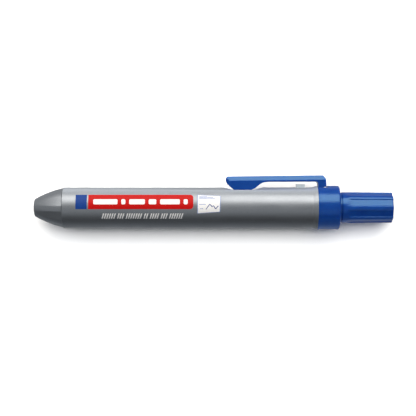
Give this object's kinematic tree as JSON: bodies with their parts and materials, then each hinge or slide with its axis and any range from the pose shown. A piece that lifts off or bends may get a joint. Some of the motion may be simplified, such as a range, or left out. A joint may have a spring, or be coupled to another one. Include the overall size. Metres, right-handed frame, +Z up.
{
  "type": "felt tip marker",
  "caption": "Retractable round felt tip marker: grey barrel and faceted nose with a closing shutter, blue collar, springy pocket clip, release latch and fluted push knob.",
  "frame": {"origin": "on the marker's axis at the middle of the plain grip, 44 mm behind the nose's front face", "axes": "+X along the axis towards the push knob, +Y out through the pocket clip, +Z up as the marker lies on its side"},
  "size_m": [0.1432, 0.0218, 0.0176],
  "materials": {
    "grey_barrel": "satin metallic-effect plastic",
    "grey_nose": "satin metallic-effect plastic",
    "blue_plastic": "glossy moulded plastic",
    "clear_plastic": "translucent moulded plastic",
    "white_plastic": "moulded plastic",
    "steel": "drawn spring wire and pin stock",
    "black_rubber": "moulded rubber",
    "ink_fibre": "bundled polyester fibre, soaked with ink",
    "nib_felt": "bonded felt, soaked with ink"
  },
  "bodies": {
    "barrel": {"barrel": "grey_barrel", "nose_cone": "grey_nose", "nose_gasket": "black_rubber", "mouth_seal": "black_rubber", "shutter_pins": "steel", "collar": "blue_plastic", "latch_pin": "steel", "latch_spring": "steel", "spring_seat": "white_plastic", "guide_bush": "white_plastic", "return_spring": "steel"},
    "plunger": {"push_knob": "blue_plastic", "ink_tube": "white_plastic", "ink_core": "ink_fibre", "tube_plug": "white_plastic", "nib_holder": "white_plastic", "holder_seal": "black_rubber", "nib": "nib_felt", "spring_collar": "white_plastic"},
    "upper_leaf": {"upper_leaf": "white_plastic"},
    "lower_leaf": {"lower_leaf": "white_plastic"},
    "clip": {"clip": "blue_plastic"},
    "latch": {"release_latch": "clear_plastic"}
  },
  "joints": [
    {"name": "knob_push", "type": "slide", "parent": "barrel", "child": "plunger", "axis": [-1, 0, 0], "range_m": [0, 0.013], "stiffness_N_per_m": 250, "springref_m": -0.008, "deforming": ["return_spring"]},
    {"name": "upper_leaf_swing", "type": "hinge", "parent": "barrel", "child": "upper_leaf", "pos_m": [-0.0396, 0.00275, 0], "axis": [0, 0, -1], "range_deg": [0, 88.2]},
    {"name": "lower_leaf_swing", "type": "hinge", "parent": "barrel", "child": "lower_leaf", "pos_m": [-0.0396, -0.00275, 0], "axis": [0, 0, 1], "range_deg": [0, 88.2]},
    {"name": "clip_flex", "type": "hinge", "parent": "barrel", "child": "clip", "pos_m": [0.07105, 0.00965, 0], "axis": [0, 0, -1], "range_deg": [0, 6], "stiffness_Nm_per_rad": 0.6, "springref_deg": -1.72},
    {"name": "latch_rock", "type": "hinge", "parent": "barrel", "child": "latch", "pos_m": [0.0575, 0.00585, 0], "axis": [0, 0, -1], "range_deg": [-3, 6], "stiffness_Nm_per_rad": 0.02, "deforming": ["latch_spring"]}
  ],
  "couplings": [
    {"joint": "upper_leaf_swing", "follows": "knob_push", "rad_per_m": 118.14},
    {"joint": "lower_leaf_swing", "follows": "knob_push", "rad_per_m": 118.14}
  ]
}
